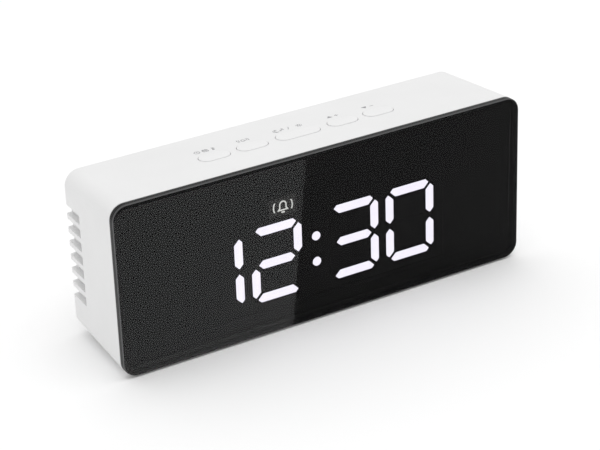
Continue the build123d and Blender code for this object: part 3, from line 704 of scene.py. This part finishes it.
def modes_mark(width):
    """The three things the display can show: a clock face, a leaf of a calendar and a thermometer."""
    face = [stroke(circle_outline(0.9), width, closed=True)]
    face.append(stroke([(0, 0.55), (0, 0.2), (0, 0), (0.18, -0.1), (0.42, -0.22)], width))
    leaf = [stroke(rounded_outline(1.7, 1.6, 0.25, 4) - [0, 0.1], width, closed=True)]
    leaf.append(stroke([(-0.85, 0.25), (0, 0.25), (0.85, 0.25)], width))
    leaf += [stroke([(u, 0.55), (u, 0.75), (u, 1.0)], width) for u in (-0.4, 0.4)]
    leaf += [moved(patch(circle_outline(0.13, 10)), u, v) for u in (-0.4, 0, 0.4) for v in (-0.1, -0.5)]
    glass = [patch(circle_outline(0.42, 16) - [0, 0.6])]
    glass.append(stroke([(0, -0.6), (0, 0.1), (0, 0.95)], width * 1.4))
    glass += [stroke([(0.35, v), (0.5, v), (0.65, v)], width) for v in (0.8, 0.4, 0.0)]
    return join_solids(
        [moved(join_solids(face), -2.8), join_solids(leaf), moved(join_solids(glass), 2.6)]
    )


def sleep_and_light_mark(width):
    """A crescent, a slanted line, and a lamp disc with eight rays."""
    outer = rounded_corner((0, 0), 0.95, 60, 300, 24)
    inner = rounded_corner((0.55, 0), 0.9, 293, 67, 20)
    moon = stroke(outer + inner[1:-1], width, closed=True)
    solids = [moved(moon, -4.4), stroke([(-0.5, -0.95), (0, 0), (0.5, 0.95)], width)]
    for step, size in enumerate((0.28, 0.42)):
        zigzag = np.array([(-1, 1), (0, 1), (1, 1), (0, 0), (-1, -1), (0, -1), (1, -1)]) * size
        solids.append(moved(stroke(zigzag, width), -2.9 + step * 0.9, -0.35 + step * 0.8))
    solids.append(moved(stroke(circle_outline(0.45), width, closed=True), 3.8))
    for angle in np.arange(8) * np.pi / 4:
        ray = np.outer([0.7, 0.9, 1.1], [np.cos(angle), np.sin(angle)])
        solids.append(moved(stroke(ray, width), 3.8))
    return join_solids(solids)


def arrow_mark(direction, width):
    """A triangle that points up or down, beside a plus or a minus sign."""
    outline = np.array([(-1.0, -0.6), (-0.86, -0.74), (0.86, -0.74), (1.0, -0.6), (0.1, 0.74), (-0.1, 0.74)])
    solids = [moved(patch(outline * [0.9, 0.9 * direction]), -1.3)]
    solids.append(moved(stroke([(-0.7, 0), (0, 0), (0.7, 0)], width), 1.3))
    if direction > 0:
        for v in (-0.15, 0.15):
            solids.append(moved(stroke([(0, v), (0, 1.6 * v), (0, v + np.sign(v) * 0.55)], width), 1.3))
    return join_solids(solids)


class CLOCK_OT_marks(bpy.types.Operator):
    """Print a small sign on the case behind each button."""

    bl_idname = "alarm_clock.marks"
    bl_label = "Printed marks"

    def execute(self, context):
        """A mark is drawn in units of half its height and laid on the case's slope."""
        look = settings().buttons
        ink = moulded_plastic("mark_ink", settings().case.ink_colour, 0.5, 0.2 * MM, 0.002 * MM, 0.06)
        unit = look.mark_height / 2
        width = look.mark_stroke / unit
        drawings = {
            "mode": modes_mark(width),
            "alarm": bell_mark(width),
            "snooze": sleep_and_light_mark(width),
            "up": arrow_mark(1, width),
            "down": arrow_mark(-1, width),
        }
        for name, (points, faces) in drawings.items():
            x, y = button_middle(name)
            places = np.empty_like(points)
            places[:, 0] = x + points[:, 0] * unit
            places[:, 1] = y + look.mark_gap + points[:, 1] * unit
            places[:, 2] = case_top(places[:, 1]) + (points[:, 2] * 1.5 - 0.5) * look.ink_depth
            add_piece(f"{name}_mark", (places, faces), [ink], "case", sharp=50.0)
        return {"FINISHED"}


# ---------------------------------------------------------------- battery compartment
class CLOCK_OT_cells(bpy.types.Operator):
    """Build the four cells with jackets, crimped ends and raised nubs."""

    bl_idname = "alarm_clock.cells"
    bl_label = "Battery cells"

    def execute(self, context):
        """Each cell is a profile of lengths and radii turned about X, and its colours follow the
        distance from the raised end."""
        look = settings().power
        jacket = moulded_plastic("cell_jacket", look.jacket_colour, 0.28, 0.8 * MM, 0.003 * MM, 0.05)
        band = plated_metal("cell_band", look.band_colour, 0.3, (8, 1, 1))
        steel = plated_metal("cell_steel", (0.62, 0.62, 0.63), 0.25)
        length, radius, nub, nub_radius = 43.3 * MM, 5.2 * MM, 1.0 * MM, 1.8 * MM
        slim, step = radius - 0.25 * MM, 0.3 * MM
        profile = [(0, 0.1 * MM), (0, nub_radius - 0.3 * MM)]
        profile += [(nub_radius * 0.12, nub_radius - 0.08 * MM), (0.3 * MM, nub_radius), (nub, nub_radius)]
        profile += [(nub, nub_radius + 0.5 * MM), (nub + 0.25 * MM, slim - 1.2 * MM)]
        profile += [(nub + 0.05 * MM, slim - 0.5 * MM), (nub + 0.05 * MM, slim - 0.2 * MM)]
        profile.append((nub + 0.3 * MM, radius))
        end = nub + length
        profile += [(nub + 10.5 * MM, radius), (end - 1.2 * MM, radius), (end - 0.9 * MM, radius - 0.18 * MM)]
        profile += [(end - 0.5 * MM, radius - 0.15 * MM), (end - step, slim), (end, slim - 0.4 * MM)]
        profile += [(end, slim - 1.5 * MM), (end - 0.15 * MM, slim - 1.8 * MM), (end - 0.15 * MM, 0.1 * MM)]
        for number in range(1, 5):
            low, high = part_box(f"cell_{number}")
            middle = (low + high) / 2
            side = 1 if number % 2 else -1
            tip = high.x if side > 0 else low.x
            points, faces = turned_solid(profile, 48)
            points = points * [-side, 1, 1] + [tip, middle.y, middle.z]

            def by_length(centres, normals, tip=tip, y=middle.y, z=middle.z):
                along = np.abs(centres[:, 0] - tip)
                out = np.hypot(centres[:, 1] - y, centres[:, 2] - z)
                metal = (out < radius - 0.1 * MM) | (along > end - 1.0 * MM)
                return np.where(metal, 2, np.where(along < nub + 10.5 * MM, 1, 0))

            add_piece(
                f"cell_{number}_body",
                (points, faces),
                [jacket, band, steel],
                "case",
                [f"cell_{number}"],
                material_of=by_length,
            )
        return {"FINISHED"}


class CLOCK_OT_springs(bpy.types.Operator):
    """Wind the tapering contact springs at the cells' flat ends."""

    bl_idname = "alarm_clock.springs"
    bl_label = "Contact springs"

    def execute(self, context):
        """The wire's middle line is a helix whose radius shrinks from the plate to the cell, and its
        first and last turns lie flat; the wire is a circle across that line."""
        look = settings().power
        wire = plated_metal("spring_wire", (0.74, 0.71, 0.64), 0.22)
        plate_x = [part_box("contact_springs")[0].x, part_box("contact_springs")[1].x]
        solids = []
        for number in range(1, 5):
            low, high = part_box(f"cell_{number}")
            side = 1 if number % 2 else -1
            flat_end = low.x if side > 0 else high.x
            start = plate_x[0] if side > 0 else plate_x[1]
            room = abs(flat_end - start) - look.spring_wire
            turns = look.spring_coils + 1.5
            t = np.linspace(0, 1, 36 * int(turns))
            climb = np.clip((t * turns - 0.75) / (turns - 1.5), 0, 1)
            angle = 2 * np.pi * turns * t
            radius = (4.0 - 1.7 * climb) * MM
            line = np.stack([climb * room, radius * np.cos(angle), radius * np.sin(angle)], -1)
            along = np.gradient(line, axis=0)
            along /= np.linalg.norm(along, axis=1, keepdims=True)
            out = np.stack([np.zeros_like(t), np.cos(angle), np.sin(angle)], -1)
            across = np.cross(along, out)
            across /= np.linalg.norm(across, axis=1, keepdims=True)
            out = np.cross(across, along)
            ring = circle_outline(look.spring_wire / 2, 10)
            rings = line[:, None] + ring[:, :1] * out[:, None] + ring[:, 1:] * across[:, None]
            points, faces = ring_solid(rings)
            offset = [start + side * look.spring_wire / 2, (low.y + high.y) / 2, (low.z + high.z) / 2]
            solids.append((points * [side, 1, 1] + offset, faces))
        add_piece("springs", join_solids(solids), [wire], "case", ["contact_springs"])
        return {"FINISHED"}


# ---------------------------------------------------------------- stage
def add_plane(name, corners, material):
    """A flat four-cornered card; its points are given in turn."""
    mesh = bpy.data.meshes.new(name)
    mesh.from_pydata([tuple(corner) for corner in corners], [], [[0, 1, 2, 3]])
    mesh.materials.append(material)
    card = bpy.data.objects.new(name, mesh)
    bpy.context.scene.collection.objects.link(card)
    return card


def add_soft_light(name, place, target, size, power):
    """A square area light that points at a target."""
    lamp = bpy.data.lights.new(name, "AREA")
    lamp.shape = "SQUARE"
    lamp.size = size
    lamp.energy = power
    light = bpy.data.objects.new(name, lamp)
    light.location = place
    light.rotation_euler = (Vector(target) - Vector(place)).to_track_quat("-Z", "Y").to_euler()
    light.visible_camera = False
    bpy.context.scene.collection.objects.link(light)
    return light


def even_light(name, tone):
    """A card that only gives an even light."""
    look = Nodes(name)
    look.set(Base_Color=(0, 0, 0, 1), Emission_Color=(tone, tone, tone, 1), Emission_Strength=1.0)
    look.set(Specular_IOR_Level=0.0)
    return look.material


class CLOCK_OT_stage(bpy.types.Operator):
    """Set up the pale floor, the soft lights, the studio cards and the camera."""

    bl_idname = "alarm_clock.stage"
    bl_label = "Studio"

    def execute(self, context):
        look = settings().stage
        scene = context.scene
        floor_look = Nodes("floor_paper")
        cloud = floor_look.between(floor_look.noise(0.2, 2.0), 0, 1)
        floor_look.colour(floor_look.mix(cloud, shade(look.floor_colour, 0.995), look.floor_colour))
        floor_look.set(Roughness=0.9, Specular_IOR_Level=0.0)
        far = 6.0
        add_plane(
            "floor", [(-far, -far, 0), (far, -far, 0), (far, far, 0), (-far, far, 0)], floor_look.material
        )
        self.add_card(look)
        world = bpy.data.worlds.new("even_sky")
        world.use_nodes = True
        sky = world.node_tree.nodes["Background"]
        sky.inputs["Color"].default_value = (1, 1, 1, 1)
        sky.inputs["Strength"].default_value = look.sky_strength
        scene.world = world
        middle = (0, 0, 0.028)
        add_soft_light("overhead", (0.05, -0.15, 0.9), middle, 0.9, look.key_power)
        scene.view_settings.view_transform = "Standard"
        self.add_camera(scene, look)
        return {"FINISHED"}

    def add_card(self, look):
        """A pale card that lies in front of the clock and that only gloss sees: the mirror's left
        part shows it, up to its slanted right edge."""
        height = 0.4 * MM
        left, near, far = -0.4, -0.018, -0.16
        near_right, far_right = -0.0134, 0.0805
        corners = [
            (left, near, height),
            (near_right, near, height),
            (far_right, far, height),
            (left, far, height),
        ]
        card = add_plane("pale_card", corners, even_light("pale_card", look.card_strength))
        card.visible_camera = False
        card.visible_diffuse = False
        card.visible_transmission = False
        card.visible_shadow = False

    def add_camera(self, scene, look):
        """The camera looks along its own -Z: its back, right and up directions come from the azimuth
        and elevation, and the roll turns right and up about the back direction."""
        az, el, roll = look.azimuth, look.elevation, look.roll
        back = Vector((math.sin(az) * math.cos(el), -math.cos(az) * math.cos(el), math.sin(el)))
        right = Vector((math.cos(az), math.sin(az), 0))
        up = back.cross(right)
        rolled_right = right * math.cos(roll) + up * math.sin(roll)
        rolled_up = up * math.cos(roll) - right * math.sin(roll)
        target = Vector((0.42, -0.2, 24.27)) * MM
        data = bpy.data.cameras.new("camera")
        data.lens = look.lens
        data.sensor_width = 36.0
        data.clip_start = 0.01
        camera = bpy.data.objects.new("camera", data)
        turn = Matrix((rolled_right, rolled_up, back)).transposed().to_4x4()
        camera.matrix_world = Matrix.Translation(target + back * look.distance) @ turn
        scene.collection.objects.link(camera)
        scene.camera = camera


# ---------------------------------------------------------------- panel and registration
STEPS = (
    CLOCK_OT_case,
    CLOCK_OT_mirror,
    CLOCK_OT_display,
    CLOCK_OT_buttons,
    CLOCK_OT_marks,
    CLOCK_OT_cells,
    CLOCK_OT_springs,
    CLOCK_OT_stage,
)


class ClockSettings(bpy.types.PropertyGroup):
    """Everything that a user may change."""

    case: PointerProperty(type=ClockCaseSettings, name="Case", description="Case, buttons and ink")
    buttons: PointerProperty(type=ClockButtonSettings, name="Buttons", description="Shape of the caps")
    mirror: PointerProperty(type=ClockMirrorSettings, name="Mirror", description="Mirror and lights")
    power: PointerProperty(type=ClockPowerSettings, name="Power", description="Battery compartment")
    stage: PointerProperty(type=ClockStageSettings, name="Studio", description="Camera, floor and lights")


class CLOCK_PT_panel(bpy.types.Panel):
    """Lists the clock's settings and the step that makes each group of pieces."""

    bl_idname = "CLOCK_PT_panel"
    bl_label = "Alarm Clock"
    bl_space_type = "VIEW_3D"
    bl_region_type = "UI"
    bl_category = "Alarm Clock"

    def draw(self, context):
        for group in ("case", "buttons", "mirror", "power", "stage"):
            held = getattr(context.scene.alarm_clock, group)
            box = self.layout.box()
            for key in held.__annotations__:
                box.prop(held, key)
        for step in STEPS:
            self.layout.operator(step.bl_idname)


CLASSES = (
    ClockCaseSettings,
    ClockButtonSettings,
    ClockMirrorSettings,
    ClockPowerSettings,
    ClockStageSettings,
    ClockSettings,
    *STEPS,
    CLOCK_PT_panel,
)


def register():
    for cls in CLASSES:
        bpy.utils.register_class(cls)
    bpy.types.Scene.alarm_clock = PointerProperty(type=ClockSettings)


def unregister():
    del bpy.types.Scene.alarm_clock
    for cls in reversed(CLASSES):
        bpy.utils.unregister_class(cls)


def main():
    register()
    bpy.ops.alarm_clock.case()
    bpy.ops.alarm_clock.mirror()
    bpy.ops.alarm_clock.display()
    bpy.ops.alarm_clock.buttons()
    bpy.ops.alarm_clock.marks()
    bpy.ops.alarm_clock.cells()
    bpy.ops.alarm_clock.springs()
    bpy.ops.alarm_clock.stage()


if __name__ == "__main__":
    main()
